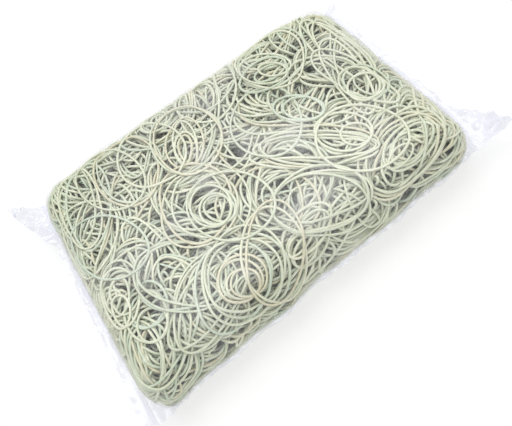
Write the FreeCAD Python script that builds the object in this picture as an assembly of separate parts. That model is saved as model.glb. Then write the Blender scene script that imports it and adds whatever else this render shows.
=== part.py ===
import FreeCAD, Part
import os
from math import floor, pi, sqrt

# A clear film bag packed full of thin elastic leg bands, lying on its flat underside.
# X runs along the pack, Y across it and Z up. The origin is the middle of the underside.
# All sizes are in millimetres.

# The filled pack
pack_length = 226.0
pack_width = 156.0
pack_height = 44.0
corner_radius = 22.0
edge_radius = 17.0

# The film
film = 0.1
crease_height = 16.0
crease_width = 3.0
fold_offset = 1.0
fold_gap = 0.3
weld_width = 3.0
hem_width = 6.0

# How far each ear's tip reaches: out past its end's fold, and out sideways past the rim
ears = {
    "left": {"front": (9.0, 0.0), "back": (25.0, 14.0)},
    "right": {"front": (23.0, 0.0), "back": (9.0, 4.0)},
}

# One leg band: a ring cut from a rubber tube, measured round the middle of its wall
band_round = 152.0
band_cut = 1.6
band_wall = 1.2

# Room between neighbours, and the least room between the two sides of a flattened band
band_gap = 0.3
film_gap = 0.4
least_opening = 2.0

upward = FreeCAD.Vector(0, 0, 1)
rounding = min(edge_radius, pack_height / 2 - band_cut)
fold_x = pack_length / 2 + fold_offset
rim_y = pack_width / 2 + crease_width
straight_x = pack_length / 2 - corner_radius
straight_y = pack_width / 2 - corner_radius


def box(low, high):
    """A box between two opposite corners."""
    sides = [high[i] - low[i] for i in range(3)]
    return Part.makeBox(*sides, FreeCAD.Vector(*low))


def pillow(inset):
    """The filled pack's block, drawn in by inset on every side."""
    half_x = pack_length / 2 - inset
    half_y = pack_width / 2 - inset
    block = box((-half_x, -half_y, inset), (half_x, half_y, pack_height - inset))
    uprights = [edge for edge in block.Edges if edge.BoundBox.ZLength > film]
    block = block.makeFillet(corner_radius - inset, uprights)
    rims = [edge for edge in block.Edges if edge.BoundBox.ZLength < film]
    return block.makeFillet(rounding - inset, rims)


def webs():
    """The upper and the lower web of film, which meet all round at the crease."""
    skin = pillow(0).cut(pillow(film))
    above = box((-pack_length, -pack_width, crease_height), (pack_length, pack_width, 2 * pack_height))
    return {"upper_web": skin.common(above), "lower_web": skin.cut(above)}


def doubled_film(corners):
    """Both webs lying together at crease height, cut to the outline that the corners give."""
    points = [FreeCAD.Vector(x, y, crease_height - film) for x, y in corners]
    outline = Part.makePolygon(points + points[:1])
    return Part.Face(outline).extrude(upward * 2 * film)


def rectangle(x_ends, y_ends):
    """The corners of a rectangle, from its ends along X and along Y in any order."""
    (x0, x1), (y0, y1) = sorted(x_ends), sorted(y_ends)
    return [(x0, y0), (x1, y0), (x1, y1), (x0, y1)]


def rim():
    """The doubled film round the pack that doesn't fold: two side creases and four corner gussets."""
    body = pillow(0)
    outlines = {}
    for side, y_sign in (("front", -1), ("back", 1)):
        y_ends = (0, y_sign * rim_y)
        outlines[f"{side}_crease"] = rectangle((-straight_x, straight_x), y_ends)
        for end, x_sign in (("left", -1), ("right", 1)):
            x_ends = (x_sign * straight_x, x_sign * (fold_x - fold_gap / 2))
            outlines[f"{side}_{end}_gusset"] = rectangle(x_ends, y_ends)
    return {name: doubled_film(outline).cut(body) for name, outline in outlines.items()}


def end_flap(end, x_sign):
    """The weld and the loose hem past one end's fold line, with an ear at each end of the hem."""
    start = fold_x + fold_gap / 2
    middle = start + hem_width
    front_out, front_aside = ears[end]["front"]
    back_out, back_aside = ears[end]["back"]
    outline = [
        (start, -rim_y),
        (start + front_out, -rim_y - front_aside),
        (middle, -straight_y),
        (middle, straight_y),
        (start + back_out, rim_y + back_aside),
        (start, rim_y),
    ]
    flap = doubled_film([(x_sign * x, y) for x, y in outline])
    weld_ends = (x_sign * start, x_sign * (start + weld_width))
    strip = doubled_film(rectangle(weld_ends, (-rim_y, rim_y)))
    return {f"{end}_weld": flap.common(strip), f"{end}_hem": flap.cut(strip)}


def oval_length(opening):
    """How long a band is outside, lying as an oval with that much room between its sides."""
    bends = pi * (opening + band_wall)
    return (band_round - bends) / 2 + opening + 2 * band_wall


def oval_opening(length):
    """The room between the sides of a band whose oval has that length outside."""
    flat = oval_length(0)
    return (flat - length) / (flat - oval_length(1))


longest = oval_length(least_opening)
shortest = band_round / pi + band_wall


def band(length):
    """A band standing on its cut edge as an oval of that length along X."""
    opening = oval_opening(length)
    straight = length / 2 - opening / 2 - band_wall
    edges = []
    for radius in (opening / 2 + band_wall, opening / 2):
        corners = [
            FreeCAD.Vector(x * straight, y * radius, 0)
            for x, y in ((-1, -1), (1, -1), (1, 1), (-1, 1))
        ]
        tips = [FreeCAD.Vector(side * (straight + radius), 0, 0) for side in (1, -1)]
        edges.append(Part.Wire([
            Part.LineSegment(corners[0], corners[1]).toShape(),
            Part.Arc(corners[1], tips[0], corners[2]).toShape(),
            Part.LineSegment(corners[2], corners[3]).toShape(),
            Part.Arc(corners[3], tips[1], corners[0]).toShape(),
        ]))
    return Part.Face(edges).extrude(upward * band_cut)


def drawn_in(z):
    """How far in from the pack's outline the bands have to keep at height z."""
    clearance = film + film_gap
    radius = rounding - clearance
    depth = max(rounding - z, z - (pack_height - rounding), 0)
    return clearance + radius - sqrt(max(radius ** 2 - depth ** 2, 0))


def spread(low, high, size):
    """The middles of as many things of that size as fit between low and high, evenly spaced."""
    count = floor((high - low + band_gap) / (size + band_gap))
    pitch = (high - low + band_gap) / max(count, 1)
    return [low - band_gap / 2 + pitch * (i + 0.5) for i in range(count)]


def band_width(length):
    """How wide a band is outside, lying as an oval of that length."""
    return oval_opening(length) + 2 * band_wall


def row_length(span):
    """The oval length that gets the most bands into rows of that span, whole bands end to end."""
    whole = floor((span + band_gap) / (longest + band_gap))
    shared = (span + band_gap) / (whole + 1) - band_gap
    if shared < shortest:
        return longest
    few = whole / (band_width(longest) + band_gap)
    many = (whole + 1) / (band_width(shared) + band_gap)
    return shared if many > few else longest


def band_layer(z, crossways):
    """One layer of bands, end to end in rows that run along the pack or across it."""
    inset = max(drawn_in(z), drawn_in(z + band_cut))
    half_row, half_deep = pack_length / 2 - inset, pack_width / 2 - inset
    if crossways:
        half_row, half_deep = half_deep, half_row
    corner = max(corner_radius - inset, 0)
    length = row_length(2 * half_row)
    width = band_width(length)
    oval = band(length)
    solids = []
    for y in spread(-half_deep, half_deep, width):
        past_corner = max(abs(y) + width / 2 - (half_deep - corner), 0)
        reach = half_row - corner + sqrt(max(corner ** 2 - past_corner ** 2, 0))
        for x in spread(-reach, reach, length):
            solid = oval.copy()
            solid.translate(FreeCAD.Vector(x, y, z))
            solids.append(solid)
    layer = Part.makeCompound(solids)
    layer.rotate(FreeCAD.Vector(), upward, 90 if crossways else 0)
    return layer


def band_layers():
    """The bands, a node for each layer, with every other layer lying across the one below."""
    floor_z = film + film_gap
    pitch = band_cut + band_gap
    layers = floor((pack_height - 2 * floor_z + band_gap) / pitch)
    return {
        f"bands_layer_{i + 1:02d}": band_layer(floor_z + i * pitch, crossways=i % 2 == 1)
        for i in range(layers)
    }


nodes = {**webs(), **rim(), **end_flap("left", -1), **end_flap("right", 1), **band_layers()}
os.makedirs("parts", exist_ok=True)
for name, shape in nodes.items():
    shape.exportStep(f"parts/{name}.step")
print(len(nodes), "nodes,", sum(len(shape.Solids) for shape in nodes.values()), "solids")
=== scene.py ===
import math
import bpy
import numpy as np
from mathutils import Matrix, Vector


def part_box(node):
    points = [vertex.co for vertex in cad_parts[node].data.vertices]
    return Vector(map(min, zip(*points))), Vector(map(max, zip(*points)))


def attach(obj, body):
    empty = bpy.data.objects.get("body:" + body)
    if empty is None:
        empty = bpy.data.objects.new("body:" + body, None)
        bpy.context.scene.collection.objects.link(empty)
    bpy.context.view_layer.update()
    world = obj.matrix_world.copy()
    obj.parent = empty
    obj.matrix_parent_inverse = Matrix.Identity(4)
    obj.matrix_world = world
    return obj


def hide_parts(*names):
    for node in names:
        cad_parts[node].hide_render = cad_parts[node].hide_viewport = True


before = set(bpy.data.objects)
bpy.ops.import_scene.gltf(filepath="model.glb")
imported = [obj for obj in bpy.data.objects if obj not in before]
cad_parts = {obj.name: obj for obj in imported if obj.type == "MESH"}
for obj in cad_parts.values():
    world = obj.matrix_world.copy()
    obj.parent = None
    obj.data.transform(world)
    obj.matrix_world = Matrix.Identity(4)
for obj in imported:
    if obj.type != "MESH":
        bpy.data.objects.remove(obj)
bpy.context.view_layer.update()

scene = bpy.context.scene
scene.view_settings.view_transform = "Standard"

# The heap's outline and height come from the two webs of the frame, and the film's rim from the
# crease and a gusset, in metres
halfLength = float(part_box("upper_web")[1][0])
halfWidth = float(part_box("upper_web")[1][1])
topZ = float(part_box("upper_web")[1][2])
creaseZ = float(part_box("upper_web")[0][2])
rimY = float(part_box("back_crease")[1][1])
straightX = float(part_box("back_crease")[1][0])
gussetX = float(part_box("back_right_gusset")[1][0])
flapX = float(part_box("right_weld")[0][0])

heap = {
    "frontCorner": 0.014,   # plan radius of the corners at the front and at the back
    "backCorner": 0.023,
    "edge": 0.017,          # how far in the round shoulders reach
    "upperSpare": 0.018,    # how much longer a web is from there to the crease than it reaches
    "lowerSpare": 0.009,
    "dome": 0.10,           # share of the height that the middle stands above the shoulders
    "domeReach": 0.060,
    "lump": 0.0009,         # how much the film rises and dips over the heap
    "lumpWaves": (9, 0.035, 0.090, 4),      # how many, the shortest, the longest and their seed
    "backSkew": 0.010,      # how far the back edge stands out at the left, and in at the right
    "frontSkew": 0.004,
    "backBulge": 0.003,
    "uneven": 0.0010,       # how far the long edges wander
    "unevenWaves": (6, 0.024, 0.060, 8),
}


def waves(count, shortest, longest, seed):
    # a sum of plane waves with random directions, phases and lengths, scaled to about -1..1
    rng = np.random.default_rng(seed)
    turn = rng.uniform(0, 2 * math.pi, count)
    size = 2 * math.pi / rng.uniform(shortest, longest, count)
    phase = rng.uniform(0, 2 * math.pi, count)

    def field(x, y):
        total = np.zeros(np.shape(x))
        for a, k, p in zip(turn, size, phase):
            total += np.sin(k * (np.cos(a) * x + np.sin(a) * y) + p)
        return total / math.sqrt(count)
    return field


lumps = waves(*heap["lumpWaves"])
wander = waves(*heap["unevenWaves"])


def skewed(x, y):
    # where a point of the even pack lies on the real one: its y is shifted by each long edge's skew
    # times the share of the way to the left end, by a parabola that bows the back edge, and by
    # waves that grow towards the long edges
    along = -x / halfLength
    back = (1 + y / halfWidth) / 2
    lean = heap["backSkew"] * back - heap["frontSkew"] * (1 - back)
    uneven = heap["uneven"] * wander(x, y) * np.clip(np.abs(y) / halfWidth, 0, 1) ** 2
    return y + along * lean + heap["backBulge"] * (1 - along ** 2) * back + uneven


def fromEdge(x, y):
    # distance in from the outline, a rectangle with round corners, and the outward direction:
    # past the corner's centre it is the radius less the length left over, else the nearer side
    corner = np.where(y < 0, heap["frontCorner"], heap["backCorner"])
    qx = np.abs(x) - (halfLength - corner)
    qy = np.abs(y) - (halfWidth - corner)
    px, py = np.maximum(qx, 0), np.maximum(qy, 0)
    past = np.hypot(px, py)
    inside = corner - past - np.minimum(np.maximum(qx, qy), 0)
    sideX = np.where(past > 0, px / np.maximum(past, 1e-9), qx > qy)
    sideY = np.where(past > 0, py / np.maximum(past, 1e-9), qx <= qy)
    return inside, sideX * np.sign(x), sideY * np.sign(y)


def shoulder(inside):
    # a quarter of an ellipse: 0 at the outline, 1 once it is the edge's reach in
    return np.sqrt(1 - (1 - np.clip(inside / heap["edge"], 0, 1)) ** 2)


def riseAt(x, y, inside):
    # how high the film stands over the crease: domed towards the middle, and lumpy
    low = 1 - np.clip(inside / heap["domeReach"], 0, 1)
    return (topZ - creaseZ) * (1 - heap["dome"] * low ** 2) - heap["lump"] * (1 + lumps(x, y))


def filmTop(x, y):
    # the upper web's height: crease height plus the rise times the shoulder
    inside = fromEdge(x, y)[0]
    return creaseZ + riseAt(x, y, inside) * shoulder(inside)


def filmFoot(x, y):
    # the lower web's height: crease height less the drop, which is flat where it rests
    return creaseZ * (1 - shoulder(fromEdge(x, y)[0]))


def onFilm(u, v, upper):
    # a point of a web laid out flat, put back on the pack, and the outward direction there: past
    # the start of the shoulder the angle grows with the distance, up to a right angle at the crease,
    # the point goes round a quarter of an ellipse, and the direction is square to that
    inside, outX, outY = fromEdge(u, v)
    edge = heap["edge"]
    spare = heap["upperSpare"] if upper else heap["lowerSpare"]
    angle = np.clip((edge - inside) / (edge + spare), 0, 1) * math.pi / 2
    shift = np.where(angle > 0, inside - edge * (1 - np.sin(angle)), 0)
    x, y = u + outX * shift, v + outY * shift
    side = 1 if upper else -1
    reached = edge * (1 - np.sin(angle)) + np.maximum(inside - edge, 0)
    height = riseAt(x, y, reached) if upper else creaseZ
    z = creaseZ + side * height * np.cos(angle)
    level, up = height * np.sin(angle), side * edge * np.cos(angle)
    normal = np.stack([outX * level, outY * level, up], -1)
    return np.stack([x, y, z], -1), normal / np.linalg.norm(normal, axis=-1, keepdims=True)


# One band, and how the bands lie
band = {
    "round": 0.152,         # length round the loop
    "cut": 0.0016,          # width of the cut strip
    "wall": 0.0013,
    "room": 0.0004,         # half the height that a strand takes in the heap
    "points": 60,           # along an outer band
    "sides": 6,
    "innerPoints": 36,      # along a band that others hide
    "innerSides": 4,
    "shell": 0.0085,        # how deep the bands lie that follow the film over the shoulders
    "shellMost": 2400,      # the most that are tried under each web, and in each half of the core
    "coreMost": 420,
    "film": 0.0003,         # how far the outermost strands lie under the film
    "shellBack": 0.004,     # how far short of the crease the middles of those under a web stay
    "shellInset": 0.0010,   # and how far short of it their strands do, and by how much more at most
    "shellInsetMore": 0.014,
    "coreBack": 0.008,      # the same for the core, measured from the outline
    "coreInsetMore": 0.006,
    "coreDepth": 0.02,      # the depth that the core's bands are given, which sets their painted shade
    "crowded": 0.55,        # a band is left out if this much of it finds no room
    "patience": 150,        # and so many left out end that side
    "stiff": 6,             # smoothings of the height of the first bands, and of the others
    "limp": 3,
    "stiffOnes": 110,       # how many are the first
    "paintedShadeFrom": 0.0015,    # the depth where bands begin to grey with painted shade, and over how much more
    "paintedShadeOver": 0.0060,
    "pullIn": 0.65,         # share of what a loop lies past the outline that it moves in by
    "letOut": 1.15,         # the most that a loop is let out by at a time
    "ease": 7,              # smoothings of a loop after the outline has held it in
    "cell": 0.0008,         # size of a cell of the height fields
    "aside": 0.0006,        # how far to each side of its middle line a strand is looked up in them
    "leanSwing": 0.7,       # how far a strand leans to and fro, and how flat its sides are
    "flatness": 0.7,
    "floor": 0.0002,        # the lowest that a strand lies
    "tint": (0.45, 0.24),   # the middle and the spread of the bands' tints
    "seed": 77,
}
nests = {
    "shares": [0.34, 0.44, 0.13, 0.09],     # of open loops, ovals, loops wound twice and bent ones
    "stray": 0.35,          # chance that a band in a nest lies another way than the nest does
    "largest": 7,           # bands that lie together in one nest
    "choice": 7,            # nests that the next one is chosen from
    "spans": [(0.72, 1.0), (0.14, 0.70), (0.5, 1.0), (0.35, 0.7)],     # their widths to lengths
    "drift": 0.0034,        # how far a nest's bands stray from each other in place and direction
    "turn": 0.20,
    "ratio": 0.03,
    "topTurn": 0.30,        # the same for the bands that lie under a loop of the list
    "topRatio": 0.10,
    "seed": 11,
}
# The loops that lie on top, each with its middle in millimetres along and across the pack, its width
# as a share of its length, the direction of its length in degrees, how often the band is wound, and
# how many bands lie in it
topLoops = [
    (-13, -22, 0.71, 130, 1, 1), (66, -41, 0.80, 115, 1, 1), (-85, 6, 0.66, 130, 1, 1),
    (-9, 34, 0.76, 85, 1, 2), (-61, 45, 0.74, 110, 1, 1), (88, -11, 0.80, 95, 2, 2),
    (-9, -62, 0.55, 55, 1, 2), (-32, -62, 0.85, 70, 1, 4), (-31, -64, 0.90, 90, 2, 3),
    (-32, 42, 0.76, 95, 1, 1), (-21, -17, 0.85, 100, 2, 2), (-27, -6, 0.80, 80, 1, 3),
    (-12, 30, 0.55, 65, 2, 2), (88, -2, 0.30, 100, 1, 3), (56, 41, 0.60, 120, 2, 2),
    (53, 0, 0.57, 125, 2, 1), (63, -33, 0.73, 120, 2, 1), (61, 46, 0.72, 95, 1, 2),
    (27, -55, 0.70, 140, 1, 4), (34, 9, 0.73, 75, 1, 1), (-50, 42, 0.74, 90, 1, 2),
    (45, -28, 0.30, 135, 1, 5), (78, -64, 0.71, 20, 1, 4), (78, -65, 0.70, 10, 2, 2),
    (-54, -38, 0.59, 135, 1, 3), (74, 6, 0.76, 110, 1, 2), (8, -66, 0.65, 20, 2, 3),
    (-94, -28, 0.72, 70, 2, 2), (-84, -46, 0.88, 95, 2, 2), (-86, 44, 0.45, 80, 1, 3),
    (-52, -60, 0.60, 30, 1, 4), (98, 20, 0.35, 85, 1, 4), (-88, -58, 0.80, 40, 1, 3),
]


def loopShapes(ways, rng, points):
    # closed curves in the plane, as complex numbers: a circle e^it, plus e^-it that draws it out to
    # an oval, e^2it that winds it twice, e^-2it that bends it or draws out one wound twice, and a
    # little e^3it that makes it uneven, scaled to the band's length and turned
    n = len(ways)
    kinds, ratios, spins = ways[:, 0].astype(int), ways[:, 1], ways[:, 2]
    t = np.linspace(0, 2 * math.pi, points, endpoint=False)[None, :]
    draw = (1 - ratios) / (1 + ratios)
    once = np.where(kinds == 2, rng.uniform(0.12, 0.60, n), 1.0)
    back = np.choose(kinds, [draw, draw, rng.uniform(0.0, 0.2, n), draw])
    twice = np.choose(kinds, [
        rng.uniform(0, 0.05, n), rng.uniform(0, 0.07, n), np.ones(n), rng.uniform(0.05, 0.15, n)])
    bent = np.choose(kinds, [
        rng.uniform(0, 0.05, n), rng.uniform(0, 0.06, n), draw, rng.uniform(0.12, 0.25, n)])
    phase = rng.uniform(0, 2 * math.pi, (3, n))
    curve = once[:, None] * np.exp(1j * t) + back[:, None] * np.exp(-1j * t)
    curve = curve + (twice * np.exp(1j * phase[0] * (kinds != 2)))[:, None] * np.exp(2j * t)
    curve = curve + (bent * np.exp(1j * phase[1] * (kinds != 2)))[:, None] * np.exp(-2j * t)
    curve = curve + (rng.uniform(0.01, 0.05, n) * np.exp(1j * phase[2]))[:, None] * np.exp(3j * t)
    length = np.abs(np.roll(curve, -1, 1) - curve).sum(1)
    return curve * (band["round"] / length * np.exp(1j * spins))[:, None]


def layOut(count, rng, loops, reach):
    # the bands of one side in the order that they lie, from the film inwards: on top the loops of
    # the list, as the first nest, then nest by nest, each with one middle and direction that its
    # bands share but for a little drift. A way is the kind, the ratio of width to length and the
    # direction
    ways, middles, nest = [], [], []
    for x, y, ratio, turn, winds, size in loops:
        for k in range(size):
            stray = min(k, 1)
            kind = 2 if winds == 2 else 0
            share = min(ratio + stray * rng.normal(0, nests["topRatio"]), 1)
            ways.append((kind, share, math.radians(turn) + stray * rng.normal(0, nests["topTurn"])))
            aside = stray * nests["drift"] * complex(rng.normal(), rng.normal())
            middles.append(complex(x, y) / 1000 + aside)
            nest.append(0)
    reachX, reachY = halfLength + reach, halfWidth + reach
    while len(ways) < count:
        size = int(rng.integers(1, nests["largest"] + 1))
        mine = rng.choice(4, p=nests["shares"])
        middle = complex(rng.uniform(-reachX, reachX), rng.uniform(-reachY, reachY))
        spin = rng.uniform(0, math.pi)
        ratio = rng.uniform(*nests["spans"][mine])
        for _ in range(size):
            kind = rng.choice(4, p=nests["shares"]) if rng.random() < nests["stray"] else mine
            share = ratio if kind == mine else rng.uniform(*nests["spans"][kind])
            share = share + rng.normal(0, nests["ratio"])
            ways.append((kind, share, spin + rng.normal(0, nests["turn"])))
            middles.append(middle + nests["drift"] * complex(rng.normal(), rng.normal()))
        nest.extend([nest[-1] + 1 if nest else 0] * size)
    return np.array(ways[:count]), np.array(middles[:count]), np.array(nest[:count])


def heldIn(curves, inset):
    # a loop moves in by most of what its furthest point lies past the outline, drawn in by the
    # inset. Points still past it move straight back to it; the loop is then let out about its
    # middle and held in again, so that it keeps most of its length
    for _ in (0, 1):
        inside, outX, outY = fromEdge(curves.real, curves.imag)
        over = np.maximum(inset[:, None] - inside, 0)
        worst = over.argmax(1)[:, None]
        pull = np.take_along_axis(over * (outX + 1j * outY), worst, 1)
        curves = curves - band["pullIn"] * pull
    for _ in range(4):
        inside, outX, outY = fromEdge(curves.real, curves.imag)
        over = np.maximum(inset[:, None] - inside, 0)
        curves = curves - over * (outX + 1j * outY)
        length = np.abs(np.roll(curves, -1, 1) - curves).sum(1)
        middle = curves.mean(1)[:, None]
        curves = middle + (curves - middle) * np.clip(band["round"] / length, 1, band["letOut"])[:, None]
    for _ in range(band["ease"]):
        curves = 0.5 * curves + 0.25 * (np.roll(curves, 1, 1) + np.roll(curves, -1, 1))
    inside, outX, outY = fromEdge(curves.real, curves.imag)
    over = np.maximum(inset[:, None] - inside, 0)
    return curves - over * (outX + 1j * outY)


class Sink:
    # a height field that bands are laid against, and that says what is taken

    def __init__(self, surface):
        self.cell = cell = band["cell"]
        spare = heap["upperSpare"] + band["shellBack"]
        self.x0, self.y0 = -halfLength - spare, -halfWidth - spare
        shape = (int(-2 * self.x0 / cell) + 1, int(-2 * self.y0 / cell) + 1)
        x = self.x0 + cell * np.arange(shape[0])[:, None] + np.zeros(shape)
        y = self.y0 + cell * np.arange(shape[1])[None, :] + np.zeros(shape)
        self.z = surface(x, y)

    def cells(self, curve):
        # grid places of a curve and of copies of it set aside to left and right
        step = np.roll(curve, -1) - np.roll(curve, 1)
        across = 1j * step / np.maximum(np.abs(step), 1e-9)
        aside = np.array([-1, 0, 1]) * band["aside"]
        spots = np.concatenate([curve + across * shift for shift in aside])
        i = np.clip(np.rint((spots.real - self.x0) / self.cell).astype(int), 0, self.z.shape[0] - 1)
        j = np.clip(np.rint((spots.imag - self.y0) / self.cell).astype(int), 0, self.z.shape[1] - 1)
        return i, j

    def room(self, curve):
        # how high a strand can lie at each point
        return self.z[self.cells(curve)].reshape(3, -1).min(0) - band["room"]

    def take(self, curve, z):
        # the field drops to the underside of a band that lies at z, looked at four times as densely
        count = 4 * len(z)
        where = np.arange(count) / 4
        fine = np.interp(where, np.arange(len(z) + 1), np.append(z, z[0]))
        dense = np.interp(where, np.arange(len(z) + 1), np.append(curve, curve[0]))
        np.minimum.at(self.z, self.cells(dense), np.tile(fine - band["room"], 3))


def drape(raw, rounds):
    # the highest smooth line under raw: smoothed along the loop and cut back to raw, by turns
    z = raw.copy()
    for _ in range(rounds):
        z = np.minimum(raw, 0.5 * z + 0.25 * (np.roll(z, 1) + np.roll(z, -1)))
    return z


def fillShell(upper):
    # the bands next to a web follow it over the shoulders: they are laid on the web as it is when
    # flat, each under the ones before it, and put back on the pack at their depths
    rng = np.random.default_rng(nests["seed"] + (0 if upper else 1))
    spare = heap["upperSpare"] if upper else heap["lowerSpare"]
    count, topmost = band["shellMost"], topLoops if upper else []
    ways, middles, nest = layOut(count, rng, topmost, spare - band["shellBack"])
    curves = loopShapes(ways, rng, band["points"]) + middles[:, None]
    more = rng.uniform(0, 1, count) ** 3 * band["shellInsetMore"]
    curves = heldIn(curves, band["shellInset"] - spare + more)
    sink = Sink(lambda x, y: 0 * x - band["film"])
    waiting = [np.flatnonzero(nest == n) for n in range(nest[-1] + 1)]
    laid, left = [], 0
    while waiting and left <= band["patience"]:
        # of the next few nests, the one whose first band finds the most room is laid
        rooms = [sink.room(curves[members[0]]).mean() for members in waiting[:nests["choice"]]]
        for k in waiting.pop(int(np.argmax(rooms)) if laid else 0):
            curve = curves[k]
            z = drape(sink.room(curve), band["stiff"] if len(laid) < band["stiffOnes"] else band["limp"])
            if np.mean(z < -band["shell"]) > band["crowded"]:
                left += 1
                continue
            sink.take(curve, z)
            spots, outward = onFilm(curve.real, curve.imag, upper)
            laid.append((spots + outward * z[:, None], outward, -z))
    return laid


def fillCore():
    # the rest are laid in plan, from above down and from below up by turns, until none finds room
    above = Sink(lambda x, y: filmTop(x, y) - band["shell"])
    below = Sink(lambda x, y: -filmFoot(x, y) - band["shell"])
    rng = np.random.default_rng(nests["seed"] + 2)
    plans = []
    for _ in (0, 1):
        ways, middles, _ = layOut(band["coreMost"], rng, [], -band["coreBack"])
        curves = loopShapes(ways, rng, band["points"]) + middles[:, None]
        more = rng.uniform(0, 1, band["coreMost"]) ** 2 * band["coreInsetMore"]
        plans.append(heldIn(curves, band["shell"] + more))
    laid, left = [], [0, 0]
    up = np.array([0.0, 0.0, 1.0])
    for k in range(band["coreMost"]):
        for side, (mine, other) in enumerate(((above, below), (below, above))):
            if left[side] > band["patience"]:
                continue
            curve = plans[side][k]
            raw = mine.room(curve)
            limit = -other.room(curve)
            z = drape(raw, band["limp"])
            if np.mean(z < limit) > band["crowded"]:
                left[side] += 1
                continue
            z = np.maximum(z, np.minimum(limit, raw))
            mine.take(curve, z)
            spots = np.stack([curve.real, curve.imag, z if side == 0 else -z], -1)
            laid.append((spots, spots * 0 + up, spots[:, 2] * 0 + band["coreDepth"]))
    return laid


outerBands = fillShell(True) + fillShell(False)
coreBands = fillCore()
print("bands laid", len(outerBands), "along the film and", len(coreBands), "in the core")

layerNames = sorted(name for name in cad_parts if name.startswith("bands_layer"))


class Signal:
    # a socket to do sums with: each sum adds a Math node and gives its result

    def __init__(self, finish, socket):
        self.finish = finish
        self.socket = socket

    def sums(self, operation, first, second):
        return self.finish.add("ShaderNodeMath", {"operation": operation}, {0: first, 1: second})

    def __add__(self, other):
        return self.sums("ADD", self, other)

    def __sub__(self, other):
        return self.sums("SUBTRACT", self, other)

    def __rsub__(self, other):
        return self.sums("SUBTRACT", other, self)

    def __mul__(self, other):
        return self.sums("MULTIPLY", self, other)

    def __pow__(self, other):
        return self.sums("POWER", self, other)

    __radd__ = __add__


class Finish:
    # a material and the one way that nodes are added to it

    def __init__(self, name):
        self.material = bpy.data.materials.new(name)
        self.material.use_nodes = True
        self.material.node_tree.nodes.clear()

    def add(self, kind, settings=None, values=None, out=0):
        # a node's settings are set first, a ramp's stops among them, then its sockets are given
        # numbers or linked, and the wanted result comes back
        node = self.material.node_tree.nodes.new(kind)
        for key, value in (settings or {}).items():
            if key == "stops":
                while len(node.color_ramp.elements) < len(value):
                    node.color_ramp.elements.new(0.5)
                for element, (place, colour) in zip(node.color_ramp.elements, value):
                    element.position = place
                    element.color = colour
            else:
                setattr(node, key, value)
        for key, value in (values or {}).items():
            if isinstance(value, Signal):
                self.material.node_tree.links.new(value.socket, node.inputs[key])
            else:
                node.inputs[key].default_value = value
        return Signal(self, node.outputs[out]) if len(node.outputs) else None

    def place(self):
        return self.add("ShaderNodeTexCoord", out="Object")

    def noise(self, scale, detail=2.0, stretch=(1, 1, 1)):
        spot = self.add("ShaderNodeMapping", None, {"Vector": self.place(), "Scale": stretch})
        return self.add("ShaderNodeTexNoise", None, {"Vector": spot, "Scale": scale, "Detail": detail})

    def held(self, signal):
        # a signal held between 0 and 1
        return self.add("ShaderNodeClamp", None, {"Value": signal})

    def away(self, spread):
        # the distance from the origin, with each axis scaled first
        spot = self.add("ShaderNodeMapping", None, {"Vector": self.place(), "Scale": spread})
        return self.add("ShaderNodeVectorMath", {"operation": "LENGTH"}, {0: spot}, out="Value")

    def past(self, axis, start, slope):
        # how far past a distance from the middle a point lies along an axis, as a signal 0 to 1
        apart = self.add("ShaderNodeSeparateXYZ", None, {0: self.place()}, out=axis)
        apart = self.add("ShaderNodeMath", {"operation": "ABSOLUTE"}, {0: apart})
        return self.held((apart - start) * slope)

    def blend(self, share, first, second):
        settings = {"data_type": "RGBA", "blend_type": "MIX"}
        return self.add("ShaderNodeMix", settings, {0: share, 6: first, 7: second}, out=2)

    def surface(self, shader):
        self.add("ShaderNodeOutputMaterial", None, {"Surface": shader})
        return self.material


def tone(red, green, blue):
    # a colour as a screen shows it, 0 to 255, turned into linear light
    return tuple(((c / 255 + 0.055) / 1.055) ** 2.4 for c in (red, green, blue)) + (1.0,)


def rubberFinish():
    look = {
        "cream": tone(228, 231, 205),
        "straw": tone(217, 212, 180),
        "leaf": tone(211, 219, 192),
        "mint": tone(198, 213, 192),
        # painted shade: the colour that bands lying deep in the heap are darkened towards
        "paintedShade": tone(62, 72, 57),
        "talcAndGlare": tone(248, 248, 236),
        "talcShare": 0.30,
        "paintedGlareMiddle": 0.45,     # and a painted glare of the same pale colour in patches over the middle of the pack
        "middle": (8, 11, 0),   # one over the middle's size along each axis, and how far it fades
        "fade": 1.2,
        # the most of the painted shade that a band takes
        "paintedShadeShare": 0.9,
        "roughness": 0.42,
        "specular": 0.35,
    }
    finish = Finish("bandRubber")
    tint = finish.add("ShaderNodeAttribute", {"attribute_name": "tint"}, out="Fac")
    stops = [(0.0, look["straw"]), (0.28, look["cream"]), (0.55, look["leaf"]), (0.92, look["mint"])]
    colour = finish.add("ShaderNodeValToRGB", {"stops": stops}, {"Fac": tint})
    dust = finish.held((finish.noise(260, 3.0) - 0.45) * 3.0)
    # painted glare: a pale patch over the middle of the pack, where the lamps shine back off the film;
    # the fine specks above are dust
    paintedGlarePatch = finish.held((look["fade"] - finish.away(look["middle"])) * (finish.noise(24) * 3.0 - 0.8))
    colour = finish.blend(dust * look["talcShare"] + paintedGlarePatch * look["paintedGlareMiddle"], colour, look["talcAndGlare"])
    # painted shade: bands under others are painted darker and greyer, the more so the deeper they lie
    deep = finish.add("ShaderNodeAttribute", {"attribute_name": "deep"}, out="Fac")
    colour = finish.blend(deep * look["paintedShadeShare"], colour, look["paintedShade"])
    grain = finish.noise(2600, 2.0)
    bump = finish.add("ShaderNodeBump", None, {"Strength": 0.12, "Distance": 0.0002, "Height": grain})
    shader = finish.add("ShaderNodeBsdfPrincipled", None, {
        "Base Color": colour, "Roughness": look["roughness"] + dust * 0.2, "Normal": bump,
        "Specular IOR Level": look["specular"]})
    return finish.surface(shader)


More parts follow.
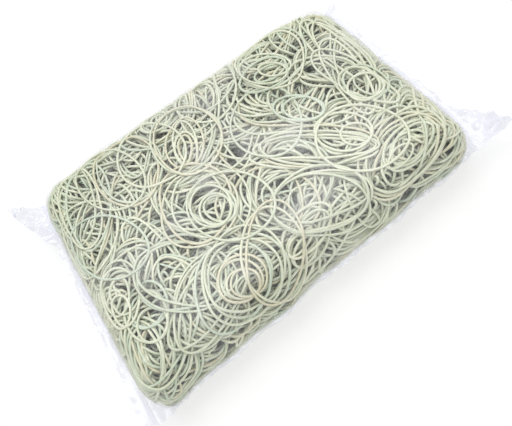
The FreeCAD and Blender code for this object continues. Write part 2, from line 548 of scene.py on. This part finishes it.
def filmFinish(name, look):
    # clear film: see-through, with a gloss that grows towards grazing angles and breaks up over
    # fine crinkles, and a milky veil in drifts over the middle of the pack, which on the clear film is a
    # painted glare, and again at its ends
    finish = Finish(name)
    crinkle = finish.noise(210, 4.0, (1, 1.8, 1))
    bump = finish.add("ShaderNodeBump", None, {"Strength": 0.55, "Distance": 0.0008, "Height": crinkle})
    edge = finish.add("ShaderNodeLayerWeight", None, {"Blend": 0.35}, out="Facing")
    clear = finish.add("ShaderNodeBsdfTransparent", None, {"Color": look["tint"]})
    settings = {"Color": (1, 1, 1, 1), "Roughness": 0.22, "Normal": bump}
    shine = finish.add("ShaderNodeBsdfGlossy", None, settings)
    share = look["gloss"] + (edge ** 4.0) * 0.45
    surface = finish.add("ShaderNodeMixShader", None, {0: share, 1: clear, 2: shine})
    milkAndGlare = finish.add("ShaderNodeBsdfPrincipled", None, {
        "Base Color": look["milk"], "Roughness": 0.5, "Normal": bump, "Specular IOR Level": 0.3})
    # painted glare: on the clear film the drifts and streaks over the middle of the pack stand for the
    # lamps' glare; on the loose films they spread over all of it as the film's own milkiness
    drift = finish.held((finish.noise(22) - 0.48) * 6.0)
    streak = finish.held((finish.noise(420, 3.0, (1, 3.5, 1)) - 0.42) * 3.0)
    middle = finish.held(veil["fade"] - finish.away(look["middle"]))
    end = finish.past("X", veil["endsFrom"], veil["slope"])
    side = finish.past("Y", veil["sidesFrom"], veil["slope"])
    cover = look["all"] + middle * drift * (look["drift"] + streak * look["streak"])
    cover = cover + end * (1.0 + streak) * look["ends"] + side * streak * look["ends"]
    return finish.surface(finish.add("ShaderNodeMixShader", None, {0: cover, 1: surface, 2: milkAndGlare}))


veil = {
    "fade": 1.15,           # how far out from the middle its drifts fade
    "endsFrom": 0.098,      # how far from the middle it comes again, along and across the pack
    "sidesFrom": 0.064,
    "slope": 60,            # and how quickly
}
# Each film's gloss, its veil everywhere, in drifts, in streaks (over the clear film's middle a painted
# glare) and at the pack's ends, one over the size of the middle stretch along each axis, the veil's
# colour, and what the film lets through
films = {
    "clearFilm": {
        "gloss": 0.035, "all": 0.01, "drift": 0.20, "streak": 0.34, "ends": 0.17,
        "middle": (8, 11, 0), "milk": tone(249, 250, 249), "tint": (0.985, 0.985, 0.985, 1)},
    "looseFilm": {
        "gloss": 0.07, "all": 0.20, "drift": 0.10, "streak": 0.25, "ends": 0.0,
        "middle": (0, 0, 0), "milk": tone(222, 224, 241), "tint": (0.94, 0.945, 0.97, 1)},
    "weldFilm": {
        "gloss": 0.08, "all": 0.34, "drift": 0.10, "streak": 0.30, "ends": 0.0,
        "middle": (0, 0, 0), "milk": tone(220, 222, 240), "tint": (0.94, 0.945, 0.97, 1)},
}
bandRubber = rubberFinish()
clearFilm, looseFilm, weldFilm = [filmFinish(name, look) for name, look in films.items()]
print("materials made")


def meshPiece(name, points, faces, material, attributes=None):
    # a piece from an array of points and an array of four-cornered faces
    mesh = bpy.data.meshes.new(name)
    mesh.vertices.add(len(points))
    mesh.vertices.foreach_set("co", points.astype(np.float32).ravel())
    mesh.loops.add(faces.size)
    mesh.loops.foreach_set("vertex_index", faces.astype(np.int32).ravel())
    mesh.polygons.add(len(faces))
    mesh.polygons.foreach_set("loop_start", np.arange(0, faces.size, 4, dtype=np.int32))
    mesh.polygons.foreach_set("use_smooth", np.ones(len(faces), dtype=bool))
    for key, values in (attributes or {}).items():
        mesh.attributes.new(key, "FLOAT", "POINT").data.foreach_set("value", values.astype(np.float32))
    mesh.update(calc_edges=True)
    mesh.validate()
    mesh.materials.append(material)
    piece = bpy.data.objects.new(name, mesh)
    scene.collection.objects.link(piece)
    return piece


def strandMesh(loops, outward, sides, rng):
    # closed strands: a profile with flattened sides, cos and sin to the power of the flatness, is
    # carried round each loop, square to its direction, and leans to and fro from outward by a wave
    count, points, _ = loops.shape
    ahead = np.roll(loops, -1, 1) - np.roll(loops, 1, 1)
    ahead /= np.maximum(np.linalg.norm(ahead, axis=2, keepdims=True), 1e-9)
    across = np.cross(ahead, outward)
    across /= np.maximum(np.linalg.norm(across, axis=2, keepdims=True), 1e-9)
    upward = np.cross(across, ahead)
    along = np.linspace(0, 2 * math.pi, points, endpoint=False)[None, :, None]
    lean = rng.uniform(0, math.pi, (count, 1, 1))
    lean = lean + band["leanSwing"] * np.sin(along + rng.uniform(0, 2 * math.pi, (count, 1, 1)))
    angle = np.linspace(0, 2 * math.pi, sides, endpoint=False)[None, None, :]
    wide = band["cut"] / 2 * np.sign(np.cos(angle)) * np.abs(np.cos(angle)) ** band["flatness"]
    high = band["wall"] / 2 * np.sign(np.sin(angle)) * np.abs(np.sin(angle)) ** band["flatness"]
    aside = (wide * np.cos(lean) - high * np.sin(lean))[..., None]
    up = (wide * np.sin(lean) + high * np.cos(lean))[..., None]
    skin = loops[:, :, None, :] + across[:, :, None, :] * aside + upward[:, :, None, :] * up
    skin[..., 2] = np.maximum(skin[..., 2], band["floor"])
    index = np.arange(count * points * sides).reshape(count, points, sides)
    nextPoint, nextSide = np.roll(index, -1, 1), np.roll(index, -1, 2)
    corner = np.roll(nextPoint, -1, 2)
    faces = np.stack([index, nextSide, corner, nextPoint], -1).reshape(-1, 4)
    return skin.reshape(-1, 3), faces


def bandPieces():
    rng = np.random.default_rng(band["seed"])
    allBands = outerBands + coreBands
    isOuter = np.arange(len(allBands)) < len(outerBands)
    spots, outward = np.stack([b[0] for b in allBands]), np.stack([b[1] for b in allBands])
    depth = np.stack([b[2] for b in allBands])
    spots[..., 1] = skewed(spots[..., 0], spots[..., 1])
    order = np.argsort(spots[..., 2].mean(1))
    tints = np.clip(rng.normal(*band["tint"], len(allBands)), 0, 1)
    for name, members in zip(layerNames, np.array_split(order, len(layerNames))):
        points, faces, tint, deep = [], [], [], []
        start = 0
        for keep, sides, chosen in (
                (band["points"], band["sides"], members[isOuter[members]]),
                (band["innerPoints"], band["innerSides"], members[~isOuter[members]])):
            if len(chosen) == 0:
                continue
            every = np.linspace(0, band["points"], keep, endpoint=False).astype(int)
            skin, quads = strandMesh(spots[chosen][:, every], outward[chosen][:, every], sides, rng)
            points.append(skin)
            faces.append(quads + start)
            tint.append(np.repeat(tints[chosen], keep * sides))
            # painted shade: each point's share of the shade colour, from its depth under the film
            paintedDarkness = np.clip((depth[chosen][:, every] - band["paintedShadeFrom"]) / band["paintedShadeOver"], 0, 1)
            deep.append(np.repeat(paintedDarkness.ravel(), sides))
            start += len(skin)
        piece = meshPiece(name.replace("bands_layer", "tangled_bands"), np.concatenate(points),
                          np.concatenate(faces), bandRubber,
                          {"tint": np.concatenate(tint), "deep": np.concatenate(deep)})
        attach(piece, "pack")
        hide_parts(name)


bandPieces()
print("bands meshed")

web = {
    "acrossLength": 300,
    "acrossWidth": 210,
    "flatShare": 0.60,      # share of the grid, from the middle out, that lies inside the shoulders
    "endPucker": 0.0009,    # wrinkles that run in from the end folds
    "endReach": 0.022,
    "sidePucker": 0.0005,
    "sideReach": 0.014,
    "puckerWaves": (7, 0.006, 0.013, 21),
    "puckerRun": 0.35,      # how much the wrinkles are drawn out along the pack
    "above": 0.0004,        # how far the film stands off the strands
    "upperFlat": (0.198, 0.262),
    "lowerFlat": (0.176, 0.242),
}
pucker = waves(*web["puckerWaves"])


def webGrid():
    # a square grid of rings: the inner ones are stretched over the flat, and each outer one is a
    # rectangle set in by the shoulder's cosine, with its corners rounded by what is left of the
    # corner's radius. It also gives the share of its rise that each point has
    columns, rows = np.linspace(-1, 1, web["acrossLength"]), np.linspace(-1, 1, web["acrossWidth"])
    u, v = np.meshgrid(columns, rows, indexing="ij")
    ring = np.maximum(np.maximum(np.abs(u), np.abs(v)), web["flatShare"])
    lift = (1 - ring) / (1 - web["flatShare"]) * math.pi / 2
    inside = heap["edge"] * (1 - np.cos(lift))
    corner = np.where(v < 0, heap["frontCorner"], heap["backCorner"])
    radius = np.maximum(corner - inside, 0)
    x = u / ring * (halfLength - inside)
    y = v / ring * (halfWidth - inside)
    coreX, coreY = halfLength - inside - radius, halfWidth - inside - radius
    outX, outY = x - np.clip(x, -coreX, coreX), y - np.clip(y, -coreY, coreY)
    length = np.maximum(np.hypot(outX, outY), 1e-9)
    rounded = (ring > web["flatShare"]) & (radius > 0) & (length > 1e-8)
    x = np.where(rounded, np.clip(x, -coreX, coreX) + outX / length * radius, x)
    y = np.where(rounded, np.clip(y, -coreY, coreY) + outY / length * radius, y)
    return x, y, np.sin(lift)


def gridFaces(points):
    # four-cornered faces over a grid of points, turned so that they look up
    rows, columns = points.shape[:2]
    index = np.arange(rows * columns).reshape(rows, columns)
    quads = np.stack([index[:-1, :-1], index[1:, :-1], index[1:, 1:], index[:-1, 1:]], -1).reshape(-1, 4)
    side = np.cross(points[1:, :-1] - points[:-1, :-1], points[:-1, 1:] - points[:-1, :-1])[..., 2].sum()
    return quads if side > 0 else quads[:, ::-1]


def filmPiece(name, node, body, x, y, z, material, down=False):
    points = np.stack([x, skewed(x, y), z], -1)
    faces = gridFaces(points)
    piece = meshPiece(name, points.reshape(-1, 3), faces[:, ::-1] if down else faces, material)
    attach(piece, body)
    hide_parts(node)
    return piece


def webPiece(name, node, upper):
    x, y, rise = webGrid()
    inside, outX, outY = fromEdge(x, y)
    if upper:
        z = creaseZ + (riseAt(x, y, inside) + web["above"]) * rise
    else:
        z = creaseZ * (1 - rise)
    fold = web["endPucker"] * np.exp(-((halfLength - np.abs(x)) / web["endReach"]) ** 2)
    fold += web["sidePucker"] * np.exp(-((halfWidth - np.abs(y)) / web["sideReach"]) ** 2)
    fold *= np.abs(pucker(x * web["puckerRun"], y)) * np.sin(np.clip(rise, 0, 1) * math.pi / 2)
    z = z + fold * rise if upper else z
    x, y = x + outX * fold, y + outY * fold
    return filmPiece(name, node, "pack", x, y, z, clearFilm, down=not upper)


upperFilm = webPiece("upper_film", "upper_web", True)
lowerFilm = webPiece("lower_film", "lower_web", False)
print("webs made")

rim = {
    "steps": 7,             # across the rim
    "along": 25,            # along each stretch of it, and where a corner ends short of the crease
    "beside": 9,
    "ripple": 0.0011,
    "rippleWaves": (6, 0.007, 0.016, 31),
    "rippleRun": 0.6,       # how much the ripple is drawn out across the pack
    "calm": 0.008,          # how near to an end fold the ripple dies out
}
rimWaves = waves(*rim["rippleWaves"])


def rimPiece(name, node, inner, outer):
    # a strip from an inner line to an outer one; its ripple grows outwards and dies at the end folds
    s = np.linspace(0, 1, rim["steps"])[:, None]
    x = inner[0] + (outer[0] - inner[0]) * s
    y = inner[1] + (outer[1] - inner[1]) * s
    calm = np.clip((gussetX - np.abs(x)) / rim["calm"], 0, 1)
    z = creaseZ + rim["ripple"] * s * calm * rimWaves(x, y * rim["rippleRun"])
    return filmPiece(name, node, "pack", x, y, z, looseFilm)


def gussetLines(end, side):
    # the heap's outline and the rim's, from the middle of an end round the corner to the crease:
    # an arc of the corner's radius, and the corner of a rectangle in the same directions
    corner = heap["frontCorner"] if side < 0 else heap["backCorner"]
    coreX, coreY = halfLength - corner, halfWidth - corner
    y = np.linspace(0, coreY, rim["along"])
    turn = np.linspace(0, math.pi / 2, rim["along"])[1:]
    x = np.linspace(coreX, min(straightX, coreX), rim["beside"])[1:]
    most = np.maximum(np.cos(turn), np.sin(turn))
    innerX = np.concatenate([y * 0 + halfLength, coreX + corner * np.cos(turn), x])
    innerY = np.concatenate([y, coreY + corner * np.sin(turn), x * 0 + halfWidth])
    outerX = np.concatenate([y * 0 + gussetX, coreX + (gussetX - coreX) * np.cos(turn) / most, x])
    outerY = np.concatenate([y, coreY + (rimY - coreY) * np.sin(turn) / most, x * 0 + rimY])
    return (end * innerX, side * innerY), (end * outerX, side * outerY)


for sideName, side in (("front", -1), ("back", 1)):
    x = np.linspace(-straightX, straightX, 6 * rim["along"])
    inner, outer = (x, x * 0 + side * halfWidth), (x, x * 0 + side * rimY)
    rimPiece(sideName + "_crease_film", sideName + "_crease", inner, outer)
    for endName, end in (("left", -1), ("right", 1)):
        inner, outer = gussetLines(end, side)
        node = f"{sideName}_{endName}_gusset"
        rimPiece(node + "_film", node, inner, outer)
print("rim made")

flap = {
    "weld": 0.003,          # width of the sealed strip past the fold
    "hem": 0.0062,          # how far the hem reaches at its middle
    "earRoot": 0.034,       # how far from the rim's corner an ear starts
    "ears": {               # how far each ear's tip reaches out past the fold, and aside past the rim
        "left": {"front": (0.009, 0.0), "back": (0.025, 0.014)},
        "right": {"front": (0.023, 0.0), "back": (0.009, 0.004)},
    },
    "shape": [0, 0.10, 0.26, 0.74, 0.90, 1],    # shares of the way along where the outline turns
    "narrow": 0.008,        # how far the ears' roots draw in from the rim's corners
    "along": 240,
    "weldAcross": 5,
    "hemAcross": 26,
    "ripple": 0.0010,       # height of the hem's waves
    "rippleRun": 0.5,       # how much they are drawn out along the fold
    "rippleOver": 0.010,    # how far past the fold they reach their height
    "crumple": 0.0042,      # height of the folds in an ear
    "crumpleFrom": 0.004,   # how far past the fold they begin, and over how much more they grow
    "crumpleOver": 0.016,
    "stray": 0.0007,        # how unevenly the ears' edges lie
    "strayOver": 0.008,
    "hemWaves": (6, 0.009, 0.022, 41),
    "earWaves": (7, 0.006, 0.017, 43),
    "strayWaves": (5, 0.010, 0.030, 47),
    "leastArea": 0.31,      # the least share of its flat rectangle that a hem covers
}
hemWaves = waves(*flap["hemWaves"])
earWaves = waves(*flap["earWaves"])
strayWaves = waves(*flap["strayWaves"])


def flapLines(endName):
    # how far out the flap's edge is, and the y of its edge and of its root, along the fold: straight
    # lines between the rim's corners, the ears' tips and the hem's middle stretch
    frontOut, frontAside = flap["ears"][endName]["front"]
    backOut, backAside = flap["ears"][endName]["back"]
    rootY, narrowY = rimY - flap["earRoot"], rimY - flap["narrow"]
    t, places = np.linspace(0, 1, flap["along"]), flap["shape"]
    out = np.interp(t, places, [0, frontOut, flap["hem"], flap["hem"], backOut, 0])
    edgeY = np.interp(t, places, [-rimY, -rimY - frontAside, -rootY, rootY, rimY + backAside, rimY])
    foldY = np.interp(t, places, [-rimY, -narrowY, -rootY, rootY, narrowY, rimY])
    return out, edgeY, foldY


def flapPieces(endName, end):
    out, edgeY, foldY = flapLines(endName)
    sealed = np.minimum(flap["weld"] / np.maximum(out, 1e-6), 1)
    strips = (
        ("weld", 0 * sealed, sealed, flap["weldAcross"]),
        ("hem", sealed, 0 * sealed + 1, flap["hemAcross"]))
    for kind, low, high, rows in strips:
        s = low + (high - low) * np.linspace(0, 1, rows)[:, None]
        reach = out * s
        y = foldY + (edgeY - foldY) * s
        x = end * (flapX + reach)
        flat = np.stack([x, y, 0 * x], -1)
        # waves that grow with the distance from the fold, and folds that stand up in the ears
        grown = np.clip(reach / flap["rippleOver"], 0, 1)
        z = creaseZ + flap["ripple"] * grown * hemWaves(x, y * flap["rippleRun"])
        ear = np.clip((reach - flap["crumpleFrom"]) / flap["crumpleOver"], 0, 1)
        z = z + flap["crumple"] * ear * np.abs(earWaves(x, y)) + flap["ripple"] * ear
        stray = flap["stray"] * np.clip(reach / flap["strayOver"], 0, 1)
        x = x + stray * strayWaves(x, y)
        y = y + stray * strayWaves(y, x)
        material = weldFilm if kind == "weld" else looseFilm
        name = f"{endName}_{kind}"
        slot = "weld_film" if kind == "weld" else "clear_film"
        filmPiece(name + "_film", name, endName + "_flap", x, y, z, material)


flapPieces("left", -1)
flapPieces("right", 1)
print("end flaps made")


def makeCamera():
    view = {
        "lens": 43.45,
        "elevation": math.radians(57.7),
        "azimuth": math.radians(0.5),
        "roll": math.radians(-37.9),
        "distance": 0.360,
        "target": (-0.004, -0.0223, 0.020),
    }
    camera = bpy.data.objects.new("camera", bpy.data.cameras.new("camera"))
    camera.data.lens = view["lens"]
    camera.data.sensor_width = 36.0
    camera.data.clip_start = 0.01
    turn = Matrix.Rotation(-view["azimuth"], 4, "Z")
    turn = turn @ Matrix.Rotation(math.pi / 2 - view["elevation"], 4, "X")
    turn = turn @ Matrix.Rotation(view["roll"], 4, "Z")
    back = turn.col[2].to_3d() * view["distance"]
    camera.matrix_world = Matrix.Translation(back) @ turn
    camera.matrix_world = Matrix.Translation(view["target"]) @ camera.matrix_world
    scene.collection.objects.link(camera)
    scene.camera = camera


def makeStudio():
    studio = {
        "floorSize": 6.0,
        "floorDrop": 0.0002,    # how far the floor lies under the pack
        "floor": (0.38, 0.38, 0.38, 1),
        "floorGlow": 0.60,
        "sky": (1.0, 1.0, 1.0, 1),
        "skyStrength": 0.50,
        "key": {"at": (0.02, 0.38, 1.05), "size": 0.8, "power": 7.3},
        "fill": {"at": (0.30, -0.60, 0.9), "size": 0.9, "power": 3.0},
    }
    half, low = studio["floorSize"] / 2, -studio["floorDrop"]
    corners = np.array([[-half, -half, low], [half, -half, low], [half, half, low], [-half, half, low]])
    finish = Finish("paleFloor")
    shader = finish.add("ShaderNodeBsdfPrincipled", None, {
        "Base Color": studio["floor"], "Roughness": 0.9, "Emission Color": studio["sky"],
        "Emission Strength": studio["floorGlow"]})
    floor = meshPiece("floor", corners, np.array([[0, 1, 2, 3]]), finish.surface(shader))
    world = bpy.data.worlds.new("softSky")
    world.use_nodes = True
    background = world.node_tree.nodes["Background"]
    background.inputs["Color"].default_value = studio["sky"]
    background.inputs["Strength"].default_value = studio["skyStrength"]
    scene.world = world
    for name in ("key", "fill"):
        light = bpy.data.objects.new(name, bpy.data.lights.new(name, "AREA"))
        light.data.size = studio[name]["size"]
        light.data.energy = studio[name]["power"]
        spot = Matrix.Translation(studio[name]["at"])
        aim = spot.to_translation().to_track_quat("Z", "Y").to_matrix().to_4x4()
        light.matrix_world = spot @ aim
        scene.collection.objects.link(light)


makeCamera()
makeStudio()
print("camera and studio made")
